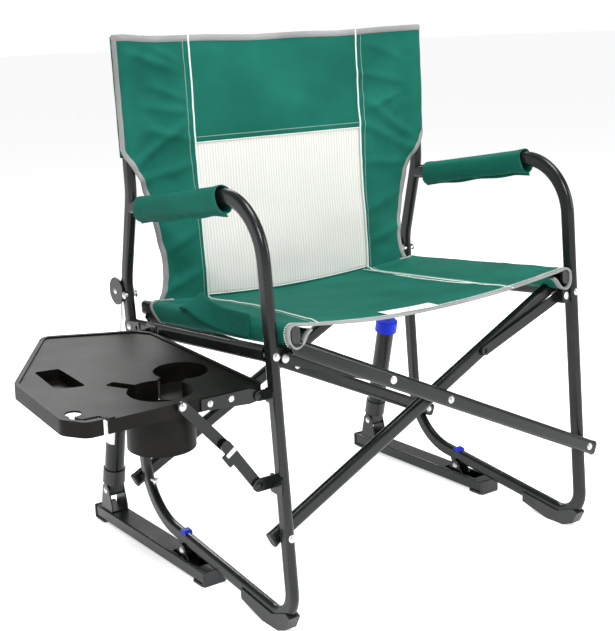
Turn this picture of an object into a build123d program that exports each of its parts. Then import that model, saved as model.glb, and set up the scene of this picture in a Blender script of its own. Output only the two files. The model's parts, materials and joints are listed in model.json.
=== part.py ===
"""Camp rocking chair with a folding side table.

Millimetres, +Z up, +X to the right seen from the front, +Y to the rear, floor at Z = 0.
The folding frame is drawn square and upright, then tipped back by `recline` where it stands.
The table is drawn flat with its top at Z = 0, then raised and tilted to its place.
"""
from build123d import *
import os
from math import atan2, cos, degrees, hypot, radians, sin, sqrt

# ------------------------------------------------------------------ driving dimensions
half_width = 310        # middle of the chair to the middle of a side frame
recline = 4             # degrees the folding frame is tipped back
tube_deep = 25          # flat-oval tube, long side
tube_thick = 15         # flat-oval tube, short side
tube_wall = 1.5
running = 0.05          # radial clearance of a pin in a moving hole
pin_r = 4
head_r = 6.2
head_high = 2.6

# side frame, as (back, up) points of the tube's centre line before it is tipped
post_top = (134, 890)
post_upper_bend = (146, 640)
post_lower_bend = (195, 492)
rear_corner = (197, 84.4)
front_corner = (-240, -0.8)
arm_corner = (-241, 648)
arm_end = (134, 619)
side_radii = (120, 120, 112, 45, 95)
arm_slope = (arm_corner[1] - arm_end[1]) / (arm_end[0] - arm_corner[0])

rail_up = 414           # height of the side rail's centre line
rail_front = front_corner[0] + tube_deep / 2
rail_rear = 182.6
rail_rivet = (188, rail_up)
rail_plate = 1.5
rail_plate_front = 150
rail_plate_rear = 203
leg_rivet = (front_corner[0], 412.5)
post_rivet = (189, 468)

# rocking base
rock_pivot = (74.7, 40)          # (back, up) in the tipped frame
bar_width = 40
bar_height = 22
bar_low = 4
bar_front = -6
bar_rear = 386
bar_wall = 2
strut_low = (347, 65)          # (back, up) on the level
strut_high = (253, 457)
strut_r = 18
ring_r = 22.5
strut_top = 230                  # length of the cylinder from its pivot
rod_r = 5

# scissor frame
scissor_angle = 25.5             # degrees of a cross bar above level
scissor_low = 343.5              # centre rivet to a leg pin
scissor_high = 323.4             # centre rivet to the bar's upper end
leg_pin_up = 140.5
seat_tube_lift = 16              # seat tube above the bar's centre line
bar_planes = {"front_a": -261, "rear_a": 162.5, "front_b": -219, "rear_b": 217.5}
flush_cap = "rear_a"              # this bar's low end passes a bend as it folds
guide_reach = 125                # centre rivet to a guide link's rivet
guide_pivot = (294, 407)         # (across, up) of the link's pivot on the right leg
link_wide = 16

# side table, in its own flat frame
table_height = 400
table_slope = 3.22
hinge = (-330, -17)              # (across, up) of the fold axis
table_skirt = 23
table_wall = 3
rim_high = 2.5
rim_wide = 7
cup_at = (-454, -137)
cup_r = 47
cup_deep = 82
recess_at = (-384, -74)
recess_r = 41
recess_deep = 33
brace_top = (-456, -7)
brace_foot = (-340, -150)
brace_long = 95.7
brace_short = 88.7

# fabric
cloth = 3
sleeve_air = 0.4
air_deep = tube_deep + 2 * sleeve_air
air_thick = tube_thick + 2 * sleeve_air

# ------------------------------------------------------------------ places
level = Location((0, 0, 0))
seat_place = Location((0, 0, 0), (-recline, 0, 0))
table_place = Location((0, 0, table_height), (table_slope, 0, 0))
strut_tilt = degrees(atan2(strut_low[0] - strut_high[0], strut_high[1] - strut_low[1]))
strut_place = Location((half_width, strut_low[0], strut_low[1]), (strut_tilt, 0, 0))
strut_long = hypot(strut_low[0] - strut_high[0], strut_high[1] - strut_low[1])
scissor_sin = sin(radians(scissor_angle))
scissor_cos = cos(radians(scissor_angle))
cross_up = leg_pin_up + scissor_low * scissor_sin
leg_pin_across = scissor_low * scissor_cos
guide_across = guide_reach * scissor_cos
guide_up = cross_up + guide_reach * scissor_sin
seat_tube_at = (
    scissor_high * scissor_cos - seat_tube_lift * scissor_sin,
    cross_up + scissor_high * scissor_sin + seat_tube_lift * scissor_cos,
)
side = Plane.YZ.offset(half_width)

pieces = {}


def keep(name, shape, place=level):
    pieces[name] = shape.moved(place)


def keep_pair(name, shape, place=level):
    """Keep a right-hand piece and its mirror image on the left."""
    keep(name + "_right", shape, place)
    pieces[name + "_left"] = pieces[name + "_right"].mirror(Plane.YZ)


def tipped(point):
    """(back, up) in the upright folding frame, given as (y, z) where the chair stands."""
    back, up = point
    lean = radians(recline)
    return (back * cos(lean) + up * sin(lean), up * cos(lean) - back * sin(lean))


def facing_front(back):
    """A plane across the chair at `back`, drawn as (across, up), whose normal points forward."""
    return Plane.XZ.offset(-back)


def rivet(grip, shaft=pin_r, head=head_r, high=head_high):
    """A rivet along +Z with its grip from 0 and a domed head at each end."""
    dome = (head**2 + high**2) / (2 * high)
    half_way = sqrt(dome**2 - (head / 2) ** 2) - (dome - high)
    with BuildPart() as piece:
        with BuildSketch(Plane.XZ):
            with BuildLine():
                ThreePointArc((0, -high), (head / 2, -half_way), (head, 0))
                Polyline((head, 0), (shaft, 0), (shaft, grip), (head, grip))
                ThreePointArc((head, grip), (head / 2, grip + half_way), (0, grip + high))
                Line((0, grip + high), (0, -high))
            make_face()
        revolve(axis=Axis.Z)
    return piece.part


def rivet_back(across, up, front, rear, **sizes):
    """A rivet through the chair from front to rear."""
    return rivet(rear - front, **sizes).moved(Location((across, front, up), (-90, 0, 0)))


def rivet_across(back, up, inner, outer, **sizes):
    """A rivet across the chair from `inner` to `outer`."""
    return rivet(outer - inner, **sizes).moved(Location((inner, back, up), (0, 90, 0)))


def oval_tube(points, radii, plane, wall=tube_wall, grow=0.0):
    """A flat-oval tube bent along `points` in `plane`, its long side in that plane."""
    with BuildPart() as piece:
        with BuildLine(plane) as route:
            FilletPolyline(*points, radius=list(radii))
        heading = route.line % 0
        with BuildSketch(Plane(route.line @ 0, x_dir=heading.cross(plane.z_dir), z_dir=heading)):
            SlotOverall(tube_deep + 2 * grow, tube_thick + 2 * grow)
            if wall:
                SlotOverall(tube_deep - 2 * wall, tube_thick - 2 * wall, mode=Mode.SUBTRACT)
        sweep(path=route.line)
    return piece.part


def straight_tube(start, end, long_side, wall=tube_wall, grow=0.0):
    """A straight flat-oval tube; `long_side` is the direction of its long side."""
    run = Vector(*end) - Vector(*start)
    with BuildPart() as piece:
        with BuildSketch(Plane(start, x_dir=long_side, z_dir=run)):
            SlotOverall(tube_deep + 2 * grow, tube_thick + 2 * grow)
            if wall:
                SlotOverall(tube_deep - 2 * wall, tube_thick - 2 * wall, mode=Mode.SUBTRACT)
        extrude(amount=run.length)
    return piece.part


# ------------------------------------------------------------------ side frames
side_points = (
    post_top, post_upper_bend, post_lower_bend, rear_corner,
    front_corner, arm_corner, arm_end,
)
frame_tube = oval_tube(side_points, side_radii, side)
frame_core = oval_tube(side_points, side_radii, side, wall=0, grow=0.15)
lug_wide = 14

with BuildPart() as side_frame:
    add(frame_tube)
    with BuildSketch(Plane.XZ.offset(-arm_end[0] + 2)):
        with Locations((half_width, arm_end[1])):
            SlotOverall(tube_deep, tube_thick, rotation=90)
    extrude(amount=-16)
    with BuildSketch(side.offset(-lug_wide / 2)):
        with Locations(rock_pivot):
            Circle(10)
        with BuildLine():
            Polyline((58, 50), (64.9, 38), (84.5, 38), (92, 57), close=True)
        make_face()
    extrude(amount=lug_wide)
    with BuildSketch(side.offset(-20)):
        with Locations(rock_pivot):
            Circle(pin_r + running)
        with Locations(post_rivet, rail_rivet):
            Circle(pin_r)
    extrude(amount=40, mode=Mode.SUBTRACT)
    with BuildSketch(facing_front(260)):
        with Locations((half_width, leg_pin_up)):
            Circle(pin_r + running)
    extrude(amount=540, mode=Mode.SUBTRACT)
    with BuildSketch(facing_front(rail_front + 2)):
        with Locations((half_width, leg_rivet[1])):
            Circle(pin_r)
    extrude(amount=40, mode=Mode.SUBTRACT)
keep_pair("side_frame", side_frame.part, seat_place)

# side rail: a straight tube between the legs, with a riveted end plate over the post
with BuildPart() as side_rail:
    add(straight_tube((half_width, rail_front + 0.2, rail_up), (half_width, rail_rear, rail_up), (0, 0, 1)))
    with BuildSketch(side.offset(tube_thick / 2)):
        with Locations(((rail_plate_front + rail_plate_rear) / 2, rail_up)):
            RectangleRounded(rail_plate_rear - rail_plate_front, 20, 6)
    extrude(amount=rail_plate)
    with BuildSketch(side.offset(-20)):
        with Locations(rail_rivet, (160, rail_up)):
            Circle(pin_r)
    extrude(amount=40, mode=Mode.SUBTRACT)
keep_pair("side_rail", side_rail.part, seat_place)

# leg bracket: a folded box beside the front leg that carries the guide link
with BuildPart() as leg_bracket:
    with BuildSketch(facing_front(-232.4)):
        with Locations((guide_pivot[0] - 1, leg_rivet[1] - 3)):
            RectangleRounded(18, 30, 4)
        with Locations(guide_pivot):
            Circle(pin_r, mode=Mode.SUBTRACT)
    extrude(amount=13.2)
keep_pair("leg_bracket", leg_bracket.part, seat_place)

# strut bracket: two round ears behind the post on a web, with the strut's upper pin between them
ear_gap = 9
ear_thick = 2.5
lean = radians(recline)
strut_eye_at = (
    strut_high[0] * cos(lean) - strut_high[1] * sin(lean),
    strut_high[0] * sin(lean) + strut_high[1] * cos(lean),
)
web_back = 209.9
with BuildPart() as strut_bracket:
    for start in (-ear_gap - ear_thick, ear_gap):
        with BuildSketch(side.offset(start)):
            with Locations((strut_eye_at[0] - 2, strut_eye_at[1])):
                Circle(24)
            with Locations(strut_eye_at, post_rivet):
                Circle(pin_r, mode=Mode.SUBTRACT)
        extrude(amount=ear_thick)
    with BuildSketch(facing_front(web_back)):
        with Locations((half_width, strut_eye_at[1])):
            Rectangle(2 * ear_gap, 36)
    extrude(amount=2)
keep_pair("strut_bracket", strut_bracket.part, seat_place)

# plastic cap in the top of the post
post_run = atan2(post_top[0] - post_upper_bend[0], post_top[1] - post_upper_bend[1])
post_axis = Vector(0, sin(post_run), cos(post_run))
with BuildPart() as post_cap:
    across_post = (0, cos(post_run), -sin(post_run))
    with BuildSketch(Plane((half_width, *post_top), x_dir=across_post, z_dir=post_axis)):
        SlotOverall(tube_deep, tube_thick)
    extrude(amount=4)
    fillet(post_cap.edges().group_by(Axis.Z)[-1], 2)
keep_pair("post_cap", post_cap.part, seat_place)

# plastic foot under the front bend, flat on the floor
foot_side = (
    (-106, 33), (-106, 15), (-165, 0), (-206, 0),
    (-228, 9), (-240, 31), (-229, 36), (-192, 22),
)
with BuildPart() as front_foot:
    with BuildSketch(side.offset(-10)):
        with BuildLine():
            Polyline(*foot_side, close=True)
        make_face()
    extrude(amount=20)
    fillet(front_foot.edges().filter_by(Axis.X).group_by(Axis.Z)[0], 6)
    add(frame_core.moved(seat_place), mode=Mode.SUBTRACT)
keep_pair("front_foot", front_foot.part)

# plug on the rail over the rocker's lug
with BuildPart() as rail_plug:
    with BuildSketch(side.offset(-7)):
        with Locations((72, 70.6)):
            SlotOverall(17, 10, rotation=11)
    extrude(amount=14)
    add(frame_core, mode=Mode.SUBTRACT)
plug_top = rail_plug.part.solids().sort_by(Axis.Z)[-1]
keep_pair("rail_plug", Part(plug_top.wrapped), seat_place)

# loose fabric sleeve on the armrest
sleeve_front = -146
sleeve_rear = 113


def arm_height(back):
    return arm_corner[1] - arm_slope * (back - arm_corner[0])


sleeve_start = Vector(half_width, sleeve_front, arm_height(sleeve_front))
sleeve_run = Vector(half_width, sleeve_rear, arm_height(sleeve_rear)) - sleeve_start
with BuildPart() as arm_sleeve:
    with BuildSketch(Plane(sleeve_start, x_dir=(1, 0, 0), z_dir=sleeve_run)):
        with Locations((3, 4)):
            RectangleRounded(26, 42, 12)
        SlotOverall(air_deep, air_thick, rotation=90, mode=Mode.SUBTRACT)
    extrude(amount=sleeve_run.length)
keep_pair("arm_sleeve", arm_sleeve.part, seat_place)

# rivets and pins that belong to a side frame
face = tube_thick / 2
leg_face = front_corner[0] - tube_deep / 2 - 0.8
ear_out = ear_gap + ear_thick
# each side's guide link turns on the last one: in front of its bracket on the left, behind it on the right
link_planes = {"left": (-252, -246), "right": (-232, -227.6)}
bracket_front = -245.6
bracket_rear = -232.4
link_pins = {
    "right": rivet_back(*guide_pivot, bracket_front, link_planes["right"][1], high=0.7),
    "left": rivet_back(-guide_pivot[0], guide_pivot[1], link_planes["left"][0], bracket_rear, high=0.9),
}
for name, sign in (("right", 1), ("left", -1)):
    with BuildPart() as side_rivets:
        for at, head in ((post_rivet, head_r), (strut_eye_at, 5.5)):
            add(rivet_across(*at, sign * half_width - ear_out, sign * half_width + ear_out, head=head))
        ends = sorted((sign * (half_width - face), sign * (half_width + face + rail_plate)))
        add(rivet_across(*rail_rivet, *ends))
        add(rivet_back(sign * half_width, leg_rivet[1], leg_face, rail_front, high=2.2))
        add(link_pins[name])
    keep("side_rivets_" + name, side_rivets.part, seat_place)

# ------------------------------------------------------------------ rocking base
with BuildPart() as foot_bar:
    with BuildSketch(Plane.XZ.offset(-bar_front)):
        with Locations((half_width, bar_low + bar_height / 2)):
            RectangleRounded(bar_width, bar_height, 3)
            RectangleRounded(bar_width - 2 * bar_wall, bar_height - 2 * bar_wall, 1.5, mode=Mode.SUBTRACT)
    extrude(amount=bar_front - bar_rear)
    with BuildSketch(Plane.XY.offset(bar_low + bar_height - bar_wall - 1)):
        with Locations((half_width, 62)):
            RectangleRounded(28, 88, 4)
    extrude(amount=5, mode=Mode.SUBTRACT)
keep_pair("foot_bar", foot_bar.part)

foot_deep = 34
with BuildPart() as bar_feet:
    for back in (bar_front, bar_rear - foot_deep):
        with BuildSketch(Plane.XY):
            with Locations((half_width, back + foot_deep / 2)):
                RectangleRounded(bar_width + 3, foot_deep, 5)
        extrude(amount=bar_low)
    for back, grow in ((bar_front, -1), (bar_rear, 1)):
        with BuildSketch(Plane.XZ.offset(-back)):
            with Locations((half_width, (bar_low + bar_height) / 2 + 0.5)):
                RectangleRounded(bar_width + 3, bar_height + bar_low + 1, 3)
        extrude(amount=-4 * grow)
    fillet(bar_feet.edges().group_by(Axis.Y)[0].filter_by(Axis.X), 1.5)
keep_pair("foot_bar_caps", bar_feet.part)

pivot_y, pivot_z = tipped(rock_pivot)
cheek_gap = 9
cheek_thick = 2.5
floor_up = bar_low + bar_wall
with BuildPart() as rock_bracket:
    for start in (-cheek_gap - cheek_thick, cheek_gap):
        with BuildSketch(side.offset(start)):
            with BuildLine():
                Polyline((56, floor_up), (98, floor_up), (98, 20), (pivot_y + 12, pivot_z))
                Polyline((pivot_y + 12, pivot_z), (pivot_y - 12, pivot_z), (56, 20), (56, floor_up))
            make_face()
            with Locations((pivot_y, pivot_z)):
                Circle(12)
                Circle(pin_r, mode=Mode.SUBTRACT)
        extrude(amount=cheek_thick)
    with BuildSketch(Plane.XY.offset(floor_up)):
        with Locations((half_width, 77)):
            Rectangle(2 * cheek_gap, 42)
    extrude(amount=cheek_thick)
keep_pair("rock_bracket", rock_bracket.part)

clevis_gap = 14
bar_top = bar_low + bar_height
clevis_front = strut_low[0] - 21
clevis_rear = strut_low[0] + 21
ear_r = 13
with BuildPart() as strut_clevis:
    for start in (-clevis_gap - cheek_thick, clevis_gap):
        with BuildSketch(side.offset(start)):
            with BuildLine():
                Polyline(
                    (clevis_front, bar_top),
                    (clevis_rear, bar_top),
                    (clevis_rear, bar_top + 8),
                    (strut_low[0] + ear_r, strut_low[1]),
                    (strut_low[0] - ear_r, strut_low[1]),
                    (clevis_front, bar_top + 10),
                    close=True,
                )
            make_face()
            with Locations(strut_low):
                Circle(ear_r)
                Circle(pin_r, mode=Mode.SUBTRACT)
        extrude(amount=cheek_thick)
    with BuildSketch(Plane.XY.offset(bar_top)):
        with Locations((half_width, (clevis_front + clevis_rear) / 2)):
            Rectangle(2 * clevis_gap, clevis_rear - clevis_front)
    extrude(amount=cheek_thick)
keep_pair("strut_clevis", strut_clevis.part)

with BuildPart() as base_pins:
    cheek_out = cheek_gap + cheek_thick
    clevis_out = clevis_gap + cheek_thick
    add(rivet_across(pivot_y, pivot_z, half_width - cheek_out, half_width + cheek_out))
    add(rivet_across(*strut_low, half_width - clevis_out, half_width + clevis_out))
keep_pair("base_pins", base_pins.part)

# ------------------------------------------------------------------ spring struts
# drawn upright on their pivot
collar_low = 17
collar_high = 46
with BuildPart() as strut_foot:
    with BuildSketch(Plane.XY.offset(collar_low)):
        Circle(strut_r + 2.5)
    extrude(amount=3)
    with BuildSketch(Plane.XY.offset(collar_low + 3)):
        Circle(strut_r + 2.5)
        Circle(strut_r + 0.1, mode=Mode.SUBTRACT)
    extrude(amount=collar_high - collar_low - 3)
    with BuildSketch(Plane.YZ.offset(-clevis_gap + 0.5)):
        Circle(12.5)
        with Locations((0, 9)):
            Rectangle(25, 18)
        Circle(pin_r + running, mode=Mode.SUBTRACT)
    extrude(amount=2 * clevis_gap - 1)
keep_pair("strut_foot", strut_foot.part, strut_place)

with BuildPart() as strut_cylinder:
    with BuildSketch(Plane.XY.offset(collar_low + 3)):
        Circle(strut_r)
        Circle(strut_r - 2, mode=Mode.SUBTRACT)
    extrude(amount=strut_top - collar_low - 3)
keep_pair("strut_cylinder", strut_cylinder.part, strut_place)

with BuildPart() as strut_ring:
    with BuildSketch(Plane.XY.offset(strut_top - 20)):
        Circle(ring_r)
        Circle(strut_r + 0.1, mode=Mode.SUBTRACT)
    extrude(amount=20)
    with BuildSketch(Plane.XY.offset(strut_top)):
        Circle(ring_r)
        Circle(rod_r + running, mode=Mode.SUBTRACT)
    extrude(amount=4)
    fillet(strut_ring.edges().filter_by(GeomType.CIRCLE).group_by(Axis.Z)[-1].sort_by(SortBy.RADIUS)[-1], 2)
keep_pair("strut_ring", strut_ring.part, strut_place)

rod_low = 118
with BuildPart() as strut_rod:
    with BuildSketch(Plane.XY.offset(rod_low)):
        Circle(strut_r - 2 - running)
    extrude(amount=10)
    with BuildSketch(Plane.XY.offset(rod_low)):
        Circle(rod_r)
    extrude(amount=strut_long - rod_low - 4)
    with BuildSketch(Plane.YZ.offset(-6)):
        with Locations((0, strut_long)):
            Circle(8.5)
            Circle(pin_r + 2, mode=Mode.SUBTRACT)
    extrude(amount=12)
    with BuildSketch(Plane.YZ.offset(-20)):
        with Locations((0, strut_long)):
            Circle(pin_r + 2)
    extrude(amount=40, mode=Mode.SUBTRACT)
keep_pair("strut_rod", strut_rod.part, strut_place)

# ------------------------------------------------------------------ scissor frames
bar_end_long = 13


def cross_bar(low_side, back, wall=tube_wall, grow=0.0):
    """A cross bar from the leg on `low_side` (+1 right) up to the other side's seat tube.

    A hollow bar has the corner of its upper end cut off, so that it passes the side frame.
    """
    along = Vector(-low_side * scissor_cos, 0, scissor_sin)
    middle = Vector(0, back, cross_up)
    low = middle - along * (scissor_low + bar_end_long)
    high = middle + along * (scissor_high + 4)
    with BuildPart() as bar:
        add(straight_tube(low, high, (low_side * scissor_sin, 0, scissor_cos), wall, grow))
        if wall:
            out = Vector(-low_side * scissor_sin, 0, -scissor_cos)
            corners = (high + along + out, high + along + out * 14, high - along * 18 + out * 14)
            with BuildSketch(facing_front(back + tube_thick)):
                with BuildLine():
                    Polyline(*[(corner.X, corner.Z) for corner in corners], close=True)
                make_face()
            extrude(amount=2 * tube_thick, mode=Mode.SUBTRACT)
    return bar.part


def seat_tube_part(across_side, front, rear, wall=tube_wall, grow=0.0):
    across, up = across_side * seat_tube_at[0], seat_tube_at[1]
    return straight_tube((across, front, up), (across, rear, up), (0, 0, 1), wall, grow)


scissors = {
    "a": {"low": 1, "bars": ("front_a", "rear_a"), "tube": (-266, 182)},
    "b": {"low": -1, "bars": ("front_b", "rear_b"), "tube": (-250, 232)},
}
for letter, plan in scissors.items():
    low_side = plan["low"]
    tube_core = seat_tube_part(-low_side, plan["tube"][0] - 5, plan["tube"][1] + 5, wall=0)
    keep("seat_tube_" + letter, seat_tube_part(-low_side, *plan["tube"]), seat_place)
    with BuildPart() as end_caps:
        for bar_name in plan["bars"]:
            along = Vector(-low_side * scissor_cos, 0, scissor_sin)
            end = Vector(0, bar_planes[bar_name], cross_up) - along * (scissor_low + bar_end_long)
            with BuildSketch(Plane(end, x_dir=(low_side * scissor_sin, 0, scissor_cos), z_dir=-along)):
                if bar_name == flush_cap:
                    SlotOverall(tube_deep - 2 * tube_wall, tube_thick - 2 * tube_wall)
                else:
                    SlotOverall(tube_deep + 1, tube_thick - 0.4)
            extrude(amount=-4 if bar_name == flush_cap else 4)
        for back in plan["tube"]:
            at = (-low_side * seat_tube_at[0], back, seat_tube_at[1])
            with BuildSketch(Plane(at, x_dir=(0, 0, 1), z_dir=(0, 1, 0))):
                SlotOverall(tube_deep, tube_thick)
            extrude(amount=-4 if back < 0 else 4)
    keep("end_caps_" + letter, end_caps.part, seat_place)
    for bar_name in plan["bars"]:
        back = bar_planes[bar_name]
        pin_hole = running if letter == "b" else 0
        with BuildPart() as cross:
            add(cross_bar(low_side, back))
            add(tube_core, mode=Mode.SUBTRACT)
            with BuildSketch(facing_front(back + 20)):
                with Locations((low_side * leg_pin_across, leg_pin_up)):
                    Circle(pin_r)
                with Locations((0, cross_up)):
                    Circle(pin_r + pin_hole)
                if bar_name.startswith("front"):
                    with Locations((-low_side * guide_across, guide_up)):
                        Circle(pin_r)
            extrude(amount=40, mode=Mode.SUBTRACT)
        keep("cross_bar_" + bar_name, cross.part.solids().sort_by(SortBy.VOLUME)[-1], seat_place)

# pins: the leg pins of each scissor, the two centre pins with their spacer tubes on scissor a,
# and each front bar's guide rivet
front_a, rear_a = bar_planes["front_a"], bar_planes["rear_a"]
front_b, rear_b = bar_planes["front_b"], bar_planes["rear_b"]
leg_front = 164      # clear of the rear leg, which is already bending at its pin
leg_back = 206
guide_a = (-guide_across, guide_up)
guide_b = (guide_across, guide_up)
with BuildPart() as pins_a:
    add(rivet_back(leg_pin_across, leg_pin_up, front_a - face, front_corner[0] + tube_deep / 2))
    add(rivet_back(leg_pin_across, leg_pin_up, rear_a - face, leg_back))
    add(rivet_back(0, cross_up, front_a - face, front_b + face))
    add(rivet_back(0, cross_up, rear_a - face, rear_b + face))
    add(rivet_back(*guide_a, front_a - face, front_a + face, high=1.1))
    for near, far in ((front_a + face, front_b - face), (rear_a + face, rear_b - face)):
        with BuildSketch(facing_front(far - 0.4)):
            with Locations((0, cross_up)):
                Circle(7.5)
                Circle(pin_r - 1, mode=Mode.SUBTRACT)
        extrude(amount=far - near - 0.4)
keep("scissor_pins_a", pins_a.part, seat_place)
with BuildPart() as pins_b:
    add(rivet_back(-leg_pin_across, leg_pin_up, leg_face, front_b + face))
    add(rivet_back(-leg_pin_across, leg_pin_up, leg_front, rear_b + face))
    add(rivet_back(*guide_b, front_b - face, front_b + face, high=0.8))
keep("scissor_pins_b", pins_b.part, seat_place)

# guide links from a leg bracket to the bar that rises to the same side
for name, sign, target in (("left", -1, guide_a), ("right", 1, guide_b)):
    near, far = link_planes[name]
    start = Vector(sign * guide_pivot[0], 0, guide_pivot[1])
    run = Vector(target[0], 0, target[1]) - start
    middle = start + run * 0.5
    turn = degrees(atan2(run.Z, run.X))
    with BuildPart() as link:
        with BuildSketch(facing_front(far)):
            with Locations((middle.X, middle.Z)):
                SlotCenterToCenter(run.length, link_wide, rotation=turn)
            with Locations((start.X, start.Z)):
                Circle(pin_r + running, mode=Mode.SUBTRACT)
            with Locations(target):
                Circle(pin_r, mode=Mode.SUBTRACT)
        extrude(amount=far - near)
    keep("guide_link_" + name, link.part, seat_place)

# ------------------------------------------------------------------ side table, flat with its top at Z = 0
table_outline = (
    (-322, -200), (-322, 123), (-340, 150), (-480, 212),
    (-612, 10), (-621, -168), (-598, -200),
)
slot_outline = ((-564, 49), (-527, 43), (-529, -56), (-571, -42))


def table_shape(inset=0.0):
    with BuildSketch(Plane.XY) as shape:
        with BuildLine():
            Polyline(*table_outline, close=True)
        make_face()
        fillet(shape.vertices().group_by(Axis.X)[-1], 3)
        fillet(shape.vertices().filter_by_position(Axis.X, -630, -470), 20)
        if inset:
            offset(amount=-inset, kind=Kind.INTERSECTION)
    return shape.sketch


def slot_shape(grow=0.0):
    with BuildSketch(Plane.XY) as shape:
        with BuildLine():
            Polyline(*slot_outline, close=True)
        make_face()
        fillet(shape.vertices(), 6)
        if grow:
            offset(amount=grow)
    return shape.sketch


deck_up = -rim_high
handle_turn = 122
handle_reach = 64
handle_at = (
    cup_at[0] + handle_reach * cos(radians(handle_turn)),
    cup_at[1] + handle_reach * sin(radians(handle_turn)),
)
handle_size = (40, 19)
handle_deep = 26
bridge_wide = 38
bridge = Vector(recess_at[0] - cup_at[0], recess_at[1] - cup_at[1])
bridge_turn = degrees(atan2(bridge.Y, bridge.X))
bridge_at = (cup_at[0] + bridge.X / 2, cup_at[1] + bridge.Y / 2)
hook_at = (-594, -150)
hook_r = 11.5
hook_path = ((-594, -150), (-603, -164), (-597, -180), (-572, -182), (-569, -208))
hook_wide = 7
rim_gap = (-556, -329)
slot_deep = 20
boss_long = 30
with BuildPart() as table_top:
    extrude(table_shape(), amount=-table_skirt)
    extrude(table_shape(rim_wide), amount=-rim_high, mode=Mode.SUBTRACT)
    extrude(
        table_shape(table_wall).moved(Location((0, 0, -table_skirt))),
        amount=table_skirt - rim_high - table_wall,
        mode=Mode.SUBTRACT,
    )
    with BuildSketch(Plane.XY.offset(deck_up - 1)):
        with Locations(cup_at):
            Circle(cup_r + table_wall)
    extrude(amount=-(cup_deep + table_wall + deck_up - 1))
    with BuildSketch(Plane.XY.offset(deck_up - 1)):
        with Locations(recess_at):
            Circle(recess_r + table_wall)
    extrude(amount=-(recess_deep + table_wall + deck_up - 1))
    with BuildSketch(Plane.XY.offset(deck_up - 1)):
        with Locations(handle_at):
            RectangleRounded(
                handle_size[0] + 2 * table_wall,
                handle_size[1] + 2 * table_wall,
                6,
                rotation=handle_turn,
            )
    extrude(amount=-(handle_deep + table_wall + deck_up - 1))
    slot_well = slot_shape(table_wall).moved(Location((0, 0, deck_up - 1)))
    extrude(slot_well, amount=-(slot_deep + table_wall + deck_up - 1))
    with BuildSketch(Plane.XY):
        with Locations(cup_at):
            Circle(cup_r)
    extrude(amount=-cup_deep, mode=Mode.SUBTRACT)
    with BuildSketch(Plane.XY):
        with Locations(recess_at):
            Circle(recess_r)
    extrude(amount=-recess_deep, mode=Mode.SUBTRACT)
    with BuildSketch(Plane.XY):
        with Locations(handle_at):
            RectangleRounded(*handle_size, 4, rotation=handle_turn)
    extrude(amount=-handle_deep, mode=Mode.SUBTRACT)
    extrude(slot_shape(), amount=-slot_deep, mode=Mode.SUBTRACT)
    with BuildSketch(Plane.XY):
        with Locations(bridge_at):
            Rectangle(bridge.length, bridge_wide, rotation=bridge_turn)
    extrude(amount=-recess_deep, mode=Mode.SUBTRACT)
    with BuildSketch(Plane.XY):
        with Locations(((rim_gap[0] + rim_gap[1]) / 2, table_outline[0][1])):
            Rectangle(rim_gap[1] - rim_gap[0], 2 * rim_wide + 2)
    extrude(amount=-rim_high, mode=Mode.SUBTRACT)
    with BuildSketch(Plane.XY):
        with Locations(hook_at):
            Circle(hook_r)
        for start, end in zip(hook_path, hook_path[1:]):
            run = Vector(end[0] - start[0], end[1] - start[1])
            with Locations(((start[0] + end[0]) / 2, (start[1] + end[1]) / 2)):
                SlotCenterToCenter(run.length, hook_wide, rotation=degrees(atan2(run.Y, run.X)))
    extrude(amount=-40, mode=Mode.SUBTRACT)
    with BuildSketch(facing_front(133)):
        with Locations(hinge):
            Circle(5.4)
    extrude(amount=boss_long)
    with BuildSketch(facing_front(160)):
        with Locations(hinge):
            Circle(pin_r - 1 + running)
    extrude(amount=160 - 108, mode=Mode.SUBTRACT)
keep("table_top", table_top.part, table_place)

strap_planes = (-203.2, -200.2)
strap_points = ((-425, -4), (-425, -21), (-345, -27), (-330, -25), (-330, -9), (-345, -4))
with BuildPart() as table_strap:
    with BuildSketch(facing_front(strap_planes[1])):
        with BuildLine():
            Polyline(*strap_points, close=True)
        make_face()
        with Locations(hinge):
            Circle(8)
            Circle(pin_r + running, mode=Mode.SUBTRACT)
    extrude(amount=strap_planes[1] - strap_planes[0])
keep("table_strap", table_strap.part, table_place)

# table hinges on the side frame: an angle bracket on the front leg, and one on the side rail
outboard = -half_width - tube_thick / 2
plate = 1.5
front_ear = (-206.6, -203.6)
rear_ear = (150, 153)
with BuildPart() as hinge_front:
    with BuildSketch(facing_front(front_ear[1])):
        with Locations(hinge):
            Circle(8)
        with Locations(((hinge[0] + outboard) / 2, hinge[1])):
            Rectangle(outboard - hinge[0], 16)
    extrude(amount=front_ear[1] - front_ear[0])
    with BuildSketch(Plane.YZ.offset(outboard - plate)):
        with Locations((-214, hinge[1])):
            RectangleRounded(20, 22, 3)
    extrude(amount=plate)
    add(rivet_back(*hinge, front_ear[0], strap_planes[1] + 5, high=1.8))
    split(bisect_by=facing_front(strap_planes[1]), keep=Keep.TOP)
keep("table_hinge_front", hinge_front.part, table_place)
with BuildPart() as hinge_rear:
    with BuildSketch(facing_front(rear_ear[1])):
        with Locations(hinge):
            Circle(8)
        with Locations(((hinge[0] + outboard) / 2, hinge[1] + 4)):
            Rectangle(outboard - hinge[0], 24)
    extrude(amount=rear_ear[1] - rear_ear[0])
    with BuildSketch(Plane.YZ.offset(outboard - plate)):
        with Locations((137, hinge[1] + 10)):
            RectangleRounded(32, 32, 4)
    extrude(amount=plate)
    with BuildSketch(facing_front(rear_ear[0])):
        with Locations(hinge):
            Circle(pin_r - 1)
    extrude(amount=rear_ear[0] - 112)
    add(rivet_across(128, hinge[1] + 18, outboard - plate - 1, outboard - plate, head=4.5, high=1.5))
keep("table_hinge_rear", hinge_rear.part, table_place)

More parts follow.
